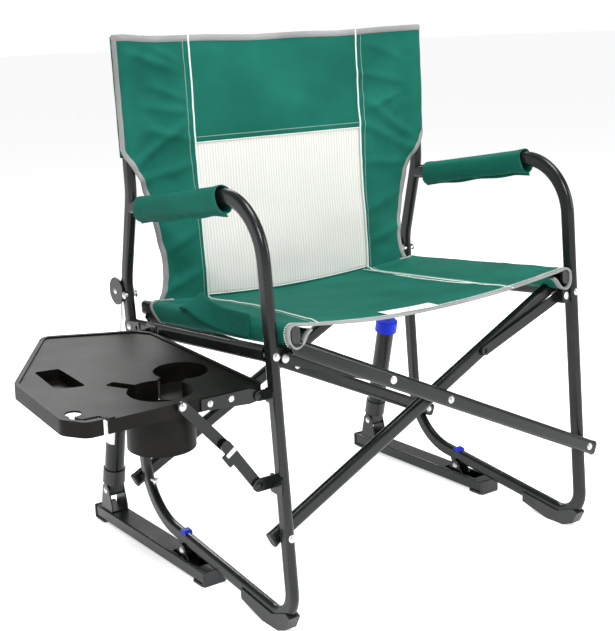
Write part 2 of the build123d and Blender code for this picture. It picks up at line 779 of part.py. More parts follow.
# brace: the upper link hangs on the table, the lower link stands on a bracket on the leg
upper_plane = (-206.6, -203.6)
lower_plane = (-213.2, -210.2)
foot_ear = (-216.6, -213.6)
brace_wide = 17
brace_span = Vector(brace_foot[0] - brace_top[0], 0, brace_foot[1] - brace_top[1])
knee_along = (brace_long**2 - brace_short**2 + brace_span.length**2) / (2 * brace_span.length)
knee_off = sqrt(brace_long**2 - knee_along**2)
unit = brace_span.normalized()
knee = (
    brace_top[0] + unit.X * knee_along - unit.Z * knee_off,
    brace_top[1] + unit.Z * knee_along + unit.X * knee_off,
)


def brace_link(start, end, plane, tab=False):
    run = Vector(end[0] - start[0], 0, end[1] - start[1])
    turn = degrees(atan2(run.Z, run.X))
    with BuildPart() as link:
        with BuildSketch(facing_front(plane[1])):
            with Locations(((start[0] + end[0]) / 2, (start[1] + end[1]) / 2)):
                SlotCenterToCenter(run.length, brace_wide, rotation=turn)
            with Locations(start):
                Circle(pin_r + running, mode=Mode.SUBTRACT)
            if tab:
                along, beside = run.normalized(), Vector(-run.Z, 0, run.X).normalized()
                spot = Vector(end[0], 0, end[1]) - along * 20 + beside * (brace_wide / 2 + 2)
                with Locations((spot.X, spot.Z)):
                    RectangleRounded(22, 10, 2, rotation=turn)
        extrude(amount=plane[1] - plane[0])
    return link.part


keep("brace_upper", brace_link(brace_top, knee, upper_plane), table_place)
with BuildPart() as brace_lower:
    add(brace_link(brace_foot, knee, lower_plane, tab=True))
    with BuildSketch(facing_front(lower_plane[1] + 3.2)):
        with Locations(knee):
            Circle(6.5)
    extrude(amount=3.2)
keep("brace_lower", brace_lower.part, table_place)
with BuildPart() as brace_bracket:
    with BuildSketch(facing_front(foot_ear[1])):
        with Locations(brace_foot):
            Circle(10)
        with Locations(((brace_foot[0] + outboard) / 2, brace_foot[1])):
            Rectangle(outboard - brace_foot[0], 20)
    extrude(amount=foot_ear[1] - foot_ear[0])
    with BuildSketch(Plane.YZ.offset(outboard - plate)):
        with Locations((-228.5, brace_foot[1])):
            RectangleRounded(30, 30, 4)
    extrude(amount=plate)
    add(rivet_back(*brace_foot, foot_ear[0], lower_plane[1], high=2))
keep("brace_bracket", brace_bracket.part, table_place)

with BuildPart() as table_rivets:
    add(rivet_back(*brace_top, upper_plane[0], -200, high=2.2))
    for across in (-410, -375):
        add(rivet_back(across, -13, strap_planes[0], -200, shaft=3, head=5, high=2))
with BuildPart() as table_rivets_clear:
    add(table_rivets.part)
    add(table_top.part, mode=Mode.SUBTRACT)
    add(table_strap.part, mode=Mode.SUBTRACT)
rivet_solids = [solid for solid in table_rivets_clear.part.solids() if solid.volume > 20]
keep("table_rivets", Part(Compound(rivet_solids).wrapped), table_place)

# ------------------------------------------------------------------ fabric
sling_front = -264
sling_rear = 150
sling_sag = 16
inner_edge = seat_tube_at[0] - tube_thick / 2 - sleeve_air - 1
sling_up = seat_tube_at[1] + 6
sling_low = sling_up - cloth
with BuildPart() as seat_sling:
    with BuildSketch(facing_front(sling_rear)):
        with BuildLine():
            ThreePointArc((-inner_edge, sling_up), (0, sling_up - sling_sag), (inner_edge, sling_up))
            Line((inner_edge, sling_up), (inner_edge, sling_low))
            ThreePointArc((inner_edge, sling_low), (0, sling_low - sling_sag), (-inner_edge, sling_low))
            Line((-inner_edge, sling_low), (-inner_edge, sling_up))
        make_face()
        for across in (-seat_tube_at[0], seat_tube_at[0]):
            with Locations((across, seat_tube_at[1])):
                SlotOverall(tube_deep + 2 * cloth, tube_thick + 2 * cloth, rotation=90)
                SlotOverall(air_deep, air_thick, rotation=90, mode=Mode.SUBTRACT)
    extrude(amount=sling_rear - sling_front)
    for low_side, bars in ((1, ("front_a", "rear_a")), (-1, ("front_b", "rear_b"))):
        for bar_name in bars:
            add(cross_bar(low_side, bar_planes[bar_name], wall=0, grow=1.2), mode=Mode.SUBTRACT)
sling = seat_sling.part.solids().sort_by(SortBy.VOLUME)[-1]
keep("seat_sling", Part(sling.wrapped), seat_place)

back_low = 452
waist_up = 700
back_top_up = 886
waist_half = 262


def post_back(up):
    """The post's centre line: how far back it is at a height."""
    spots = (post_top, post_upper_bend, post_lower_bend)
    for (high_back, high_up), (low_back, low_up) in zip(spots, spots[1:]):
        if up >= low_up or low_up == post_lower_bend[1]:
            return low_back + (high_back - low_back) * (up - low_up) / (high_up - low_up)


upper_low = (post_back(waist_up), waist_up)
upper_high = (post_back(back_top_up), back_top_up)
upper_run = Vector(0, upper_high[0] - upper_low[0], upper_high[1] - upper_low[1])
upper_plane_at = Plane((0, *upper_low), x_dir=(1, 0, 0), z_dir=upper_run)
with BuildPart() as back_sling:
    with BuildSketch(upper_plane_at):
        Rectangle(2 * (half_width - tube_thick / 2 - 1), cloth)
        for across in (-half_width, half_width):
            with Locations((across, 0)):
                SlotOverall(tube_deep + 2 * cloth, tube_thick + 2 * cloth, rotation=90)
                SlotOverall(air_deep, air_thick, rotation=90, mode=Mode.SUBTRACT)
    extrude(amount=upper_run.length)
    waist_low = (152, back_low)
    waist_run = Vector(0, upper_low[0] - waist_low[0], upper_low[1] - waist_low[1])
    waist_plane = Plane((0, *waist_low), x_dir=(1, 0, 0), z_dir=Vector(1, 0, 0).cross(waist_run))
    with BuildSketch(waist_plane) as waist:
        with BuildLine():
            edge = half_width - tube_thick / 2 - 2
            top = waist_run.length
            Polyline(
                (-edge, top),
                (-waist_half, top - 60),
                (-waist_half, 0),
                (waist_half, 0),
                (waist_half, top - 60),
                (edge, top),
                close=True,
            )
        make_face()
    extrude(amount=cloth / 2, both=True)
keep("back_sling", back_sling.part, seat_place)

# webbing handle on the left seat tube's sleeve
with BuildPart() as carry_handle:
    with BuildSketch(Plane.YZ.offset(-seat_tube_at[0] - 12.8)):
        with Locations((-62, 446)):
            RectangleRounded(205, 22, 3)
    extrude(amount=2)
keep("carry_handle", carry_handle.part, seat_place)

# ------------------------------------------------------------------ write the pieces
boxes = [piece.bounding_box() for piece in pieces.values()]
low_x, high_x = min(box.min.X for box in boxes), max(box.max.X for box in boxes)
low_y, high_y = min(box.min.Y for box in boxes), max(box.max.Y for box in boxes)
low_z, high_z = min(box.min.Z for box in boxes), max(box.max.Z for box in boxes)
origin_shift = Vector(-(low_x + high_x) / 2, -(low_y + high_y) / 2, 0)
os.makedirs("parts", exist_ok=True)
for name, piece in pieces.items():
    placed = piece.moved(Location(origin_shift))
    placed.label = name
    export_step(placed, "parts/" + name + ".step")
print(len(pieces), "pieces,", "size", high_x - low_x, high_y - low_y, high_z - low_z, "lowest", low_z)
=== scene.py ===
"""Camp rocking chair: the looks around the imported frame. Metres, +Z up, +X to the sitter's left."""
import json
from math import cos, exp, pi, radians, sin, sqrt

import bmesh
import bpy
from mathutils import Matrix, Vector, noise


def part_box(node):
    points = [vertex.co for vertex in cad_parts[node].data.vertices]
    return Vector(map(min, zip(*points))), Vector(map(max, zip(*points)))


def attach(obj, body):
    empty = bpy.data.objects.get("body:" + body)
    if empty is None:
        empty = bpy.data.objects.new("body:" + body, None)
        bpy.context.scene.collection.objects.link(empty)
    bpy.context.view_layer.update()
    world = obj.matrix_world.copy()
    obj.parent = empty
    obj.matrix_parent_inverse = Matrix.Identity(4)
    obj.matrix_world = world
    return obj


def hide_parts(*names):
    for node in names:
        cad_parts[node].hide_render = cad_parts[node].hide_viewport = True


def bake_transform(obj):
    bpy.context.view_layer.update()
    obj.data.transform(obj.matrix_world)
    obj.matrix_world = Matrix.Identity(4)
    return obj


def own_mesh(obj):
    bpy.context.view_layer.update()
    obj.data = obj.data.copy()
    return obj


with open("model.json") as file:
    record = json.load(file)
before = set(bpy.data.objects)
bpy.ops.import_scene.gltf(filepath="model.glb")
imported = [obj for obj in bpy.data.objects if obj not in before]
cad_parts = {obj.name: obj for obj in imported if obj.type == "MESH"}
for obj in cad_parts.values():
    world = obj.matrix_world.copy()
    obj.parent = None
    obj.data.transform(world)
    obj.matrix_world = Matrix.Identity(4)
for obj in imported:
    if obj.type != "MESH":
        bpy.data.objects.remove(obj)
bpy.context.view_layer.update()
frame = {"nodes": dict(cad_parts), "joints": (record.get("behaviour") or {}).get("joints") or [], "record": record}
NODES = frame["nodes"]
JOINTS = {joint["name"]: joint for joint in frame["joints"]}
MM = 0.001

# ------------------------------------------------------------------ places, from the frame
right_pin = Vector(JOINTS["fold"]["pos_m"])
left_pin = Vector(JOINTS["fold_left"]["pos_m"])
BACK = Vector(JOINTS["fold"]["axis"])                      # rearward in the tipped frame
ACROSS = Vector((1, 0, 0))
UP = ACROSS.cross(BACK)
PIN_UP = 140.5                                             # mm, the leg pins in the tipped frame
ORIGIN = (right_pin + left_pin) / 2 - UP * PIN_UP * MM     # middle of the chair in the tipped frame
HALF = 310                                                 # mm, middle to a side frame
SEAT_TUBE = Vector((285, 0, 442))


def seat(x, v, w):
    """A point of the tipped frame, given in mm across, back and up."""
    return ORIGIN + (ACROSS * x + BACK * v + UP * w) * MM


LEVEL = Vector((ORIGIN.x, ORIGIN.y, 0))


def ground(x, y, z):
    """A point where the chair stands, in mm from the middle of the chair."""
    return LEVEL + Vector((x, y, z)) * MM


TABLE_BACK = -Vector(JOINTS["table_fold"]["axis"])
TABLE_UP = ACROSS.cross(TABLE_BACK)
TABLE_HINGE = Vector(JOINTS["table_fold"]["pos_m"])


def table(x, s, t):
    """A point of the table's frame: mm across the chair, along the table, and above its top."""
    return TABLE_HINGE + (ACROSS * (x + 330) + TABLE_BACK * s + TABLE_UP * (t + 17)) * MM


# ------------------------------------------------------------------ camera, floor and light
CAMERA_AT = (-1233, -1618, 873)          # mm from the middle of the chair
CAMERA_TURN = (-35.09, 12.97, -2.31)     # azimuth, elevation, roll in degrees
FOCAL = 69.26                            # mm on a 36 mm sensor


def make_camera():
    azimuth, elevation, roll = (radians(a) for a in CAMERA_TURN)
    away = Vector((sin(azimuth) * cos(elevation), -cos(azimuth) * cos(elevation), sin(elevation)))
    level_right = Vector((0, 0, 1)).cross(away).normalized()
    level_up = away.cross(level_right)
    right = level_right * cos(roll) + level_up * sin(roll)
    up = -level_right * sin(roll) + level_up * cos(roll)
    data = bpy.data.cameras.new("camera")
    data.lens = FOCAL
    data.sensor_width = 36
    data.clip_end = 400
    camera = bpy.data.objects.new("camera", data)
    bpy.context.scene.collection.objects.link(camera)
    turn = Matrix((right, up, away)).transposed().to_4x4()
    camera.matrix_world = Matrix.Translation(ground(*CAMERA_AT)) @ turn
    bpy.context.scene.camera = camera


def make_light(name, at, size, power, aim=(0, 0, 0.4)):
    data = bpy.data.lights.new(name, "AREA")
    data.shape = "RECTANGLE"
    data.size, data.size_y = size
    data.energy = power
    light = bpy.data.objects.new(name, data)
    bpy.context.scene.collection.objects.link(light)
    light.location = at
    light.rotation_euler = (Vector(aim) - Vector(at)).to_track_quat("-Z", "Y").to_euler()


def make_stage():
    size = 120                           # half the floor's width, m; its edge stays beyond the horizon
    corners = [(-size, -size, 0), (size, -size, 0), (size, size, 0), (-size, size, 0)]
    mesh = bpy.data.meshes.new("floor")
    mesh.from_pydata(corners, [], [(0, 1, 2, 3)])
    floor = bpy.data.objects.new("floor", mesh)
    bpy.context.scene.collection.objects.link(floor)
    paint = shader("floor_paint", (0.9, 0.9, 0.9), rough=0.95, Specular_IOR_Level=0.05)
    main = paint.node_tree.nodes["Principled BSDF"]
    main.inputs["Emission Color"].default_value = (1, 1, 1, 1)
    main.inputs["Emission Strength"].default_value = 0.62
    floor.data.materials.append(paint)
    world = bpy.data.worlds.new("studio")
    bpy.context.scene.world = world
    world.use_nodes = True
    sky = world.node_tree.nodes["Background"]
    place = world.node_tree.nodes.new("ShaderNodeTexCoord")
    height = world.node_tree.nodes.new("ShaderNodeSeparateXYZ")
    fade = world.node_tree.nodes.new("ShaderNodeValToRGB")
    world.node_tree.links.new(place.outputs["Generated"], height.inputs["Vector"])
    world.node_tree.links.new(height.outputs["Z"], fade.inputs["Fac"])
    fade.color_ramp.elements[0].position = 0.06
    fade.color_ramp.elements[0].color = (1, 1, 1, 1)
    fade.color_ramp.elements[1].position = 0.45
    fade.color_ramp.elements[1].color = (0.3, 0.3, 0.31, 1)
    world.node_tree.links.new(fade.outputs["Color"], sky.inputs["Color"])
    make_light("key", (-1.9, -2.6, 3.0), (0.9, 0.9), 92)
    make_light("top", (0.1, -0.5, 3.4), (1.6, 1.2), 75)
    make_light("fill", (2.4, -2.6, 1.6), (0.35, 1.6), 36)
    make_light("rim", (0.8, 2.6, 2.4), (2.0, 0.8), 60)
    bpy.context.scene.view_settings.view_transform = "Standard"


# ------------------------------------------------------------------ shading
def shader(name, colour, rough=0.5, metal=0.0, **sockets):
    """A material with one principled shader; sockets are named as Blender names them."""
    material = bpy.data.materials.new(name)
    material.use_nodes = True
    main = material.node_tree.nodes["Principled BSDF"]
    main.inputs["Base Color"].default_value = (*colour, 1)
    main.inputs["Roughness"].default_value = rough
    main.inputs["Metallic"].default_value = metal
    for socket, value in sockets.items():
        main.inputs[socket.replace("_", " ")].default_value = value
    return material


def add_node(material, kind, **settings):
    node = material.node_tree.nodes.new(kind)
    for key, value in settings.items():
        if key in node.inputs:
            node.inputs[key].default_value = value
        else:
            setattr(node, key, value)
    return node


def mottle(material, colours, scale, detail=4.0, rough=None, bump=0.0, bump_scale=None, distance=0.0005):
    """Noise between two colours, with a roughness range and a fine bump, in object space."""
    tree = material.node_tree
    main = tree.nodes["Principled BSDF"]
    place = add_node(material, "ShaderNodeTexCoord")
    cloud = add_node(material, "ShaderNodeTexNoise", Scale=scale, Detail=detail)
    tree.links.new(place.outputs["Object"], cloud.inputs["Vector"])
    ramp = add_node(material, "ShaderNodeValToRGB")
    ramp.color_ramp.elements[0].color = (*colours[0], 1)
    ramp.color_ramp.elements[1].color = (*colours[1], 1)
    ramp.color_ramp.elements[0].position = 0.32
    ramp.color_ramp.elements[1].position = 0.68
    tree.links.new(cloud.outputs["Fac"], ramp.inputs["Fac"])
    tree.links.new(ramp.outputs["Color"], main.inputs["Base Color"])
    if rough:
        spread = add_node(material, "ShaderNodeMapRange")
        spread.inputs["To Min"].default_value, spread.inputs["To Max"].default_value = rough
        tree.links.new(cloud.outputs["Fac"], spread.inputs["Value"])
        tree.links.new(spread.outputs["Result"], main.inputs["Roughness"])
    if bump:
        grain = add_node(material, "ShaderNodeTexNoise", Scale=bump_scale or scale * 10, Detail=3.0)
        tree.links.new(place.outputs["Object"], grain.inputs["Vector"])
        relief = add_node(material, "ShaderNodeBump", Strength=bump, Distance=distance)
        tree.links.new(grain.outputs["Fac"], relief.inputs["Height"])
        tree.links.new(relief.outputs["Normal"], main.inputs["Normal"])
    return material


def frame_paint():
    paint = shader("gunmetal_powder_coat", (0.008, 0.009, 0.009), rough=0.3, Specular_IOR_Level=0.36)
    tones = ((0.004, 0.005, 0.005), (0.01, 0.0115, 0.0115))
    return mottle(paint, tones, 14, rough=(0.18, 0.32), bump=0.12, bump_scale=900)


def zinc():
    return mottle(
        shader("zinc_plate", (0.62, 0.62, 0.6), rough=0.3, metal=1.0),
        ((0.5, 0.5, 0.49), (0.74, 0.74, 0.72)), 60, rough=(0.22, 0.42), bump=0.1, bump_scale=500,
    )


def chrome():
    return mottle(
        shader("chromed_rod", (0.7, 0.7, 0.72), rough=0.1, metal=1.0),
        ((0.66, 0.66, 0.68), (0.78, 0.78, 0.8)), 30, rough=(0.07, 0.16), bump=0.02, bump_scale=300,
    )


def moulding(name, low, high, rough, bump=0.25, gloss=0.5):
    plastic = shader(name, high, rough=rough[0], Specular_IOR_Level=gloss)
    return mottle(plastic, (low, high), 22, rough=rough, bump=bump, bump_scale=1400)


def make_materials():
    black = ((0.012, 0.012, 0.013), (0.022, 0.022, 0.024))
    blue = ((0.002, 0.018, 0.5), (0.004, 0.035, 0.72))
    dark_brown = ((0.004, 0.0037, 0.003), (0.0075, 0.007, 0.0055))
    return {
        "frame_steel": frame_paint(),
        "zinc_steel": zinc(),
        "chrome_rod": chrome(),
        "black_plastic": moulding("black_moulding", *black, (0.38, 0.55)),
        "blue_plastic": moulding("blue_moulding", *blue, (0.35, 0.5), bump=0.08, gloss=0.2),
        "table_plastic": moulding("table_moulding", *dark_brown, (0.33, 0.5), gloss=0.12),
    }


MATERIALS = make_materials()


def paint_cad_nodes():
    for row in frame["record"]["subparts"]:
        node = NODES[row["node"]]
        if row["material_slot"] in MATERIALS:
            node.data.materials.clear()
            node.data.materials.append(MATERIALS[row["material_slot"]])


def canvas(name, low, high):
    """Woven canvas: fine crossed threads as relief, and slow unevenness of colour."""
    cloth = mottle(shader(name, high, rough=0.8), (low, high), 9, detail=6.0, rough=(0.72, 0.9))
    main = cloth.node_tree.nodes["Principled BSDF"]
    main.inputs["Specular IOR Level"].default_value = 0.12
    tree = cloth.node_tree
    place = add_node(cloth, "ShaderNodeTexCoord")
    weave = add_node(cloth, "ShaderNodeTexNoise", Scale=700.0, Detail=2.0)
    tree.links.new(place.outputs["Object"], weave.inputs["Vector"])
    relief = add_node(cloth, "ShaderNodeBump", Strength=0.35, Distance=0.0004)
    tree.links.new(weave.outputs["Fac"], relief.inputs["Height"])
    tree.links.new(relief.outputs["Normal"], main.inputs["Normal"])
    return cloth


def ribbed_mesh():
    """White knitted mesh with close upright ribs that wander a little."""
    knit = shader("white_knit_mesh", (0.86, 0.84, 0.8), rough=0.85, Specular_IOR_Level=0.2)
    tree = knit.node_tree
    main = tree.nodes["Principled BSDF"]
    place = add_node(knit, "ShaderNodeTexCoord")
    ribs = add_node(knit, "ShaderNodeTexWave", Scale=55.0, Distortion=3.0, Detail=3.0)
    ribs.inputs["Detail Scale"].default_value = 0.25
    ribs.bands_direction = "X"
    stretch = add_node(knit, "ShaderNodeMapping")
    stretch.inputs["Scale"].default_value = (1.0, 0.16, 0.16)
    tree.links.new(place.outputs["Object"], stretch.inputs["Vector"])
    tree.links.new(stretch.outputs["Vector"], ribs.inputs["Vector"])
    ramp = add_node(knit, "ShaderNodeValToRGB")
    ramp.color_ramp.elements[0].color = (0.575, 0.565, 0.53, 1)
    ramp.color_ramp.elements[1].color = (0.72, 0.71, 0.68, 1)
    ramp.color_ramp.elements[1].position = 0.6
    tree.links.new(ribs.outputs["Fac"], ramp.inputs["Fac"])
    tree.links.new(ramp.outputs["Color"], main.inputs["Base Color"])
    relief = add_node(knit, "ShaderNodeBump", Strength=0.5, Distance=0.0008)
    tree.links.new(ribs.outputs["Fac"], relief.inputs["Height"])
    tree.links.new(relief.outputs["Normal"], main.inputs["Normal"])
    return knit


GREEN = canvas("green_canvas", (0.004, 0.092, 0.066), (0.009, 0.13, 0.094))
WEBBING = canvas("green_webbing", (0.003, 0.075, 0.055), (0.006, 0.105, 0.077))
TAPE = canvas("grey_tape", (0.21, 0.215, 0.21), (0.3, 0.305, 0.3))
PIPE = canvas("white_piping", (0.66, 0.74, 0.7), (0.78, 0.84, 0.8))
THREAD = shader("light_thread", (0.55, 0.68, 0.62), rough=0.7)
DARK_THREAD = shader("dark_thread", (0.006, 0.07, 0.055), rough=0.7)
KNIT = ribbed_mesh()
LABEL = canvas("white_woven_label", (0.76, 0.76, 0.74), (0.86, 0.86, 0.84))
WHITE = shader("white_sleeve_band", (0.85, 0.85, 0.84), rough=0.5)


# ------------------------------------------------------------------ shaping
def spline(a, b, c, d, t):
    """Catmull-Rom point between `b` and `c`."""
    square = (2 * a - 5 * b + 4 * c - d) * t * t
    return 0.5 * (2 * b + (c - a) * t + square + (3 * b - a - 3 * c + d) * t**3)


def smooth(points, steps):
    """Points on a smooth curve through `points`, `steps` to each span."""
    points = [Vector(p) for p in points]
    padded = [points[0] * 2 - points[1]] + points + [points[-1] * 2 - points[-2]]
    found = []
    for a, b, c, d in zip(padded, padded[1:], padded[2:], padded[3:]):
        for i in range(steps):
            found.append(spline(a, b, c, d, i / steps))
    return found + [points[-1]]


def ease(low, high, value):
    """0 below `low`, 1 above `high`, smooth between them."""
    t = min(1.0, max(0.0, (value - low) / (high - low)))
    return t * t * (3 - 2 * t)


def between(table_of, value):
    """Straight-line reading of a short list of (position, value) pairs in rising order."""
    if value <= table_of[0][0]:
        return table_of[0][1]
    for (low, start), (high, end) in zip(table_of, table_of[1:]):
        if value <= high:
            return start + (end - start) * (value - low) / (high - low)
    return table_of[-1][1]


def make_object(name, vertices, faces, material, flat_shade=False):
    mesh = bpy.data.meshes.new(name)
    mesh.from_pydata([tuple(v) for v in vertices], [], faces)
    mesh.validate()
    mesh.update()
    if not flat_shade:
        mesh.polygons.foreach_set("use_smooth", [True] * len(mesh.polygons))
    mesh.materials.append(material)
    made = bpy.data.objects.new(name, mesh)
    bpy.context.scene.collection.objects.link(made)
    return made


def row_normals(rows):
    """Unit normals of a grid of points, from its neighbours."""
    normals = []
    for i, row in enumerate(rows):
        line = []
        for j in range(len(row)):
            along = row[min(j + 1, len(row) - 1)] - row[max(j - 1, 0)]
            up = rows[min(i + 1, len(rows) - 1)][j] - rows[max(i - 1, 0)][j]
            line.append(along.cross(up).normalized())
        normals.append(line)
    return normals


def cloth_grid(name, rows, material, thick=1.6, skip=None):
    """A sheet through a grid of points, `thick` mm deep behind them. `skip(i, j)` leaves a cell out."""
    normals = row_normals(rows)
    high, wide = len(rows), len(rows[0])
    front = [p for row in rows for p in row]
    behind = [p - n * thick * MM for row, line in zip(rows, normals) for p, n in zip(row, line)]
    count = high * wide
    kept = {(i, j) for i in range(high - 1) for j in range(wide - 1) if not (skip and skip(i, j))}
    faces = []
    for i, j in sorted(kept):
        a, b, c, d = i * wide + j, i * wide + j + 1, (i + 1) * wide + j + 1, (i + 1) * wide + j
        faces.append((a, b, c, d))
        faces.append((a + count, d + count, c + count, b + count))
        for (di, dj), (p, q) in (((-1, 0), (a, b)), ((0, 1), (b, c)), ((1, 0), (c, d)), ((0, -1), (d, a))):
            if (i + di, j + dj) not in kept:
                faces.append((q, p, p + count, q + count))
    made = make_object(name, front + behind, faces, material)
    loose = bmesh.new()
    loose.from_mesh(made.data)
    bmesh.ops.delete(loose, geom=[v for v in loose.verts if not v.link_faces], context="VERTS")
    loose.to_mesh(made.data)
    loose.free()
    return made


def sweep(name, centres, sides, ups, outline, material, closed=True, caps=True):
    """An outline of (side, up) mm pairs carried along `centres`, where `sides` and `ups` are its axes."""
    count = len(outline)
    vertices = []
    for centre, side_way, up_way in zip(centres, sides, ups):
        vertices += [centre + (side_way * a + up_way * b) * MM for a, b in outline]
    faces = []
    for i in range(len(centres) - 1):
        for j in range(count if closed else count - 1):
            k = (j + 1) % count
            faces.append((i * count + j, i * count + k, (i + 1) * count + k, (i + 1) * count + j))
    if caps and closed:
        faces.append(tuple(reversed(range(count))))
        faces.append(tuple(range(len(vertices) - count, len(vertices))))
    return make_object(name, vertices, faces, material)


def headings(points):
    return [
        (points[min(i + 1, len(points) - 1)] - points[max(i - 1, 0)]).normalized() for i in range(len(points))
    ]


def ring(radius, count=8, squash=1.0):
    turns = [2 * pi * k / count for k in range(count)]
    return [(radius * cos(turn), radius * squash * sin(turn)) for turn in turns]


def piping(name, points, normals, radius=1.3, material=None, lift=0.6):
    """A thin round cord along a seam, half sunk in the cloth."""
    ways = headings(points)
    sides = [w.cross(n).normalized() for w, n in zip(ways, normals)]
    centres = [p + n * lift * MM for p, n in zip(points, normals)]
    return sweep(name, centres, sides, normals, ring(radius), material or PIPE)


# one stitch, as shares of its half length, half width and lift
STITCH = (
    (-1, 0, -0.3), (-0.6, -1, 0), (0.6, -1, 0), (1, 0, -0.3),
    (0.6, 1, 0), (-0.6, 1, 0), (-0.5, 0, 1), (0.5, 0, 1),
)


def stitching(name, points, normals, material=None, pitch=4.0, long=2.6, wide=0.9, lift=0.35):
    """A dashed row of stitches along a path on the cloth."""
    runs = [0.0]
    for a, b in zip(points, points[1:]):
        runs.append(runs[-1] + (b - a).length / MM)
    vertices, faces = [], []
    at, k = pitch / 2, 0
    while at < runs[-1] - pitch / 2:
        while runs[k + 1] < at:
            k += 1
        share = (at - runs[k]) / max(1e-6, runs[k + 1] - runs[k])
        centre = points[k].lerp(points[k + 1], share)
        normal = normals[k].lerp(normals[k + 1], share).normalized()
        way = (points[k + 1] - points[k]).normalized()
        side_way = way.cross(normal)
        base = len(vertices)
        for along, across, up in STITCH:
            spot = way * along * long / 2 + side_way * across * wide / 2 + normal * lift * up
            vertices.append(centre + spot * MM)
        for loop in ((0, 1, 6), (1, 2, 7, 6), (2, 3, 7), (3, 4, 7), (4, 5, 6, 7), (5, 0, 6)):
            faces.append(tuple(base + n for n in reversed(loop)))
        at += pitch
    return make_object(name, vertices, faces, material or THREAD)


def binding(name, points, inwards, normals, wide=10.0, thick=1.0, cloth=1.6, material=None):
    """Tape folded over the edge of a cloth: `inwards` points from the edge into the cloth."""
    half = cloth / 2
    low = -cloth - thick
    outline = (
        (wide, thick * 0.2), (wide * 0.92, thick), (wide * 0.5, thick * 1.1), (0.6, thick),
        (-thick, 0.1 - half), (0.6, low), (wide * 0.5, -cloth - thick * 1.1),
        (wide * 0.92, low), (wide, -cloth - thick * 0.2),
    )
    squared = [(i - n * i.dot(n)).normalized() for i, n in zip(inwards, normals)]
    return sweep(name, points, squared, normals, outline, material or TAPE, closed=False, caps=False)


def grid_path(rows, normals, spots, lift=0.0):
    """Points and normals on a grid at fractional (row, column) spots."""
    found, ways = [], []
    for r, c in spots:
        i, j = min(int(r), len(rows) - 2), min(int(c), len(rows[0]) - 2)
        a, b = r - i, c - j
        low = rows[i][j].lerp(rows[i][j + 1], b)
        high = rows[i + 1][j].lerp(rows[i + 1][j + 1], b)
        low_way = normals[i][j].lerp(normals[i][j + 1], b)
        high_way = normals[i + 1][j].lerp(normals[i + 1][j + 1], b)
        normal = low_way.lerp(high_way, a)
        normal.normalize()
        found.append(low.lerp(high, a) + normal * lift * MM)
        ways.append(normal)
    return found, ways


def crease(x, y, start, end, wide, high):
    """Height of one soft fold from `start` to `end`, in the cloth's own mm."""
    sx, sy = start
    ex, ey = end
    run = (ex - sx) ** 2 + (ey - sy) ** 2
    t = ((x - sx) * (ex - sx) + (y - sy) * (ey - sy)) / run
    if t < -0.4 or t > 1.4:
        return 0.0
    gap = abs((x - sx) * (ey - sy) - (y - sy) * (ex - sx)) / sqrt(run)
    return high * exp(-((gap / wide) ** 2)) * ease(-0.4, 0.25, t) * (1 - ease(0.75, 1.4, t))


def rumple(x, y, size, high, seed=0.0):
    """Slow unevenness of a taut cloth, in mm."""
    slow = noise.noise(Vector((x / size, y / size, seed)))
    quick = noise.noise(Vector((x / size * 2.3, y / size * 2.3, seed + 7)))
    return high * (slow + 0.4 * quick)


# ------------------------------------------------------------------ seat
SAG = 16
CLOTH = 1.6
FRONT_LIP = {"left": -269, "right": -257}
SEAT_REAR = 150
SEAT_LOOP = (
    (254, 444), (262, 438), (270, 427), (279, 421.5), (288, 422), (294.5, 430),
    (296.3, 442), (294, 451.5), (285.5, 456.6), (275, 455), (262, 452.8),
)


def seat_line():
    """(across, up) of the seat cloth seen from the front, from one under-seam to the other."""
    right = [(p.x, p.y) for p in smooth([(a, b, 0) for a, b in SEAT_LOOP], 5)]
    inner = right[-1][0]
    flat = [inner - inner * k / 24 for k in range(1, 25)]
    edge = right[-1][1]
    right += [(x, edge - SAG * (1 - (x / inner) ** 2)) for x in flat]
    return [(-x, w) for x, w in right] + [(x, w) for x, w in reversed(right[:-1])]


def seat_front(x):
    lip = FRONT_LIP["left"] + (FRONT_LIP["right"] - FRONT_LIP["left"]) * ease(-285, 285, x)
    return lip + 8 * (1 - min(1.0, abs(x) / 285) ** 2.2)


def seat_back(x, w):
    """The sleeves' rear ends are cut away under the tube."""
    return SEAT_REAR - 20 * ease(455, 425, w) * ease(262, 285, abs(x))


def seat_rumple(x, v, top):
    """Folds of the seat: drawn towards the sleeves' ends, and slack beside the seams."""
    if not top:
        return rumple(v, x, 45, 0.8, 3)
    side_share = ease(90, 250, abs(x))
    high = rumple(x, v, 110, 2.0, 1) + side_share * rumple(x * 0.5, v, 40, 1.6, 2)
    for sign in (-1, 1):
        high += crease(x, v, (sign * 262, -250), (sign * 150, -170), 9, 2.2)
        high += crease(x, v, (sign * 265, -215), (sign * 190, -90), 10, 1.5)
        high += crease(x, v, (sign * 262, 130), (sign * 175, 70), 11, 2.0)
        high += crease(x, v, (sign * 258, 40), (sign * 215, -20), 9, 1.2)
    return high


def seat_rows():
    line = seat_line()
    rows = []
    steps = 90
    for i in range(steps + 1):
        t = i / steps
        row = []
        for k, (x, w) in enumerate(line):
            v = seat_front(x) + (seat_back(x, w) - seat_front(x)) * t
            before = Vector(line[max(k - 1, 0)])
            after = Vector(line[min(k + 1, len(line) - 1)])
            way = (after - before).normalized()
            out = Vector((-way.y, way.x))
            top = abs(x) < 285 and w > 433 and out.y > 0.5
            high = seat_rumple(x, v, top) * ease(0, 0.05, t) * 0.8
            tuck = 5.0 * ease(SEAT_REAR - 16, SEAT_REAR, v) * (1 - ease(250, 275, abs(x)))
            droop = -2.5 * ease(-215, -270, v) * (1 - ease(120, 250, abs(x)))
            row.append(seat(x + out.x * high, v, w + out.y * high + tuck * 0.6 + droop))
        rows.append(row)
    return line, rows


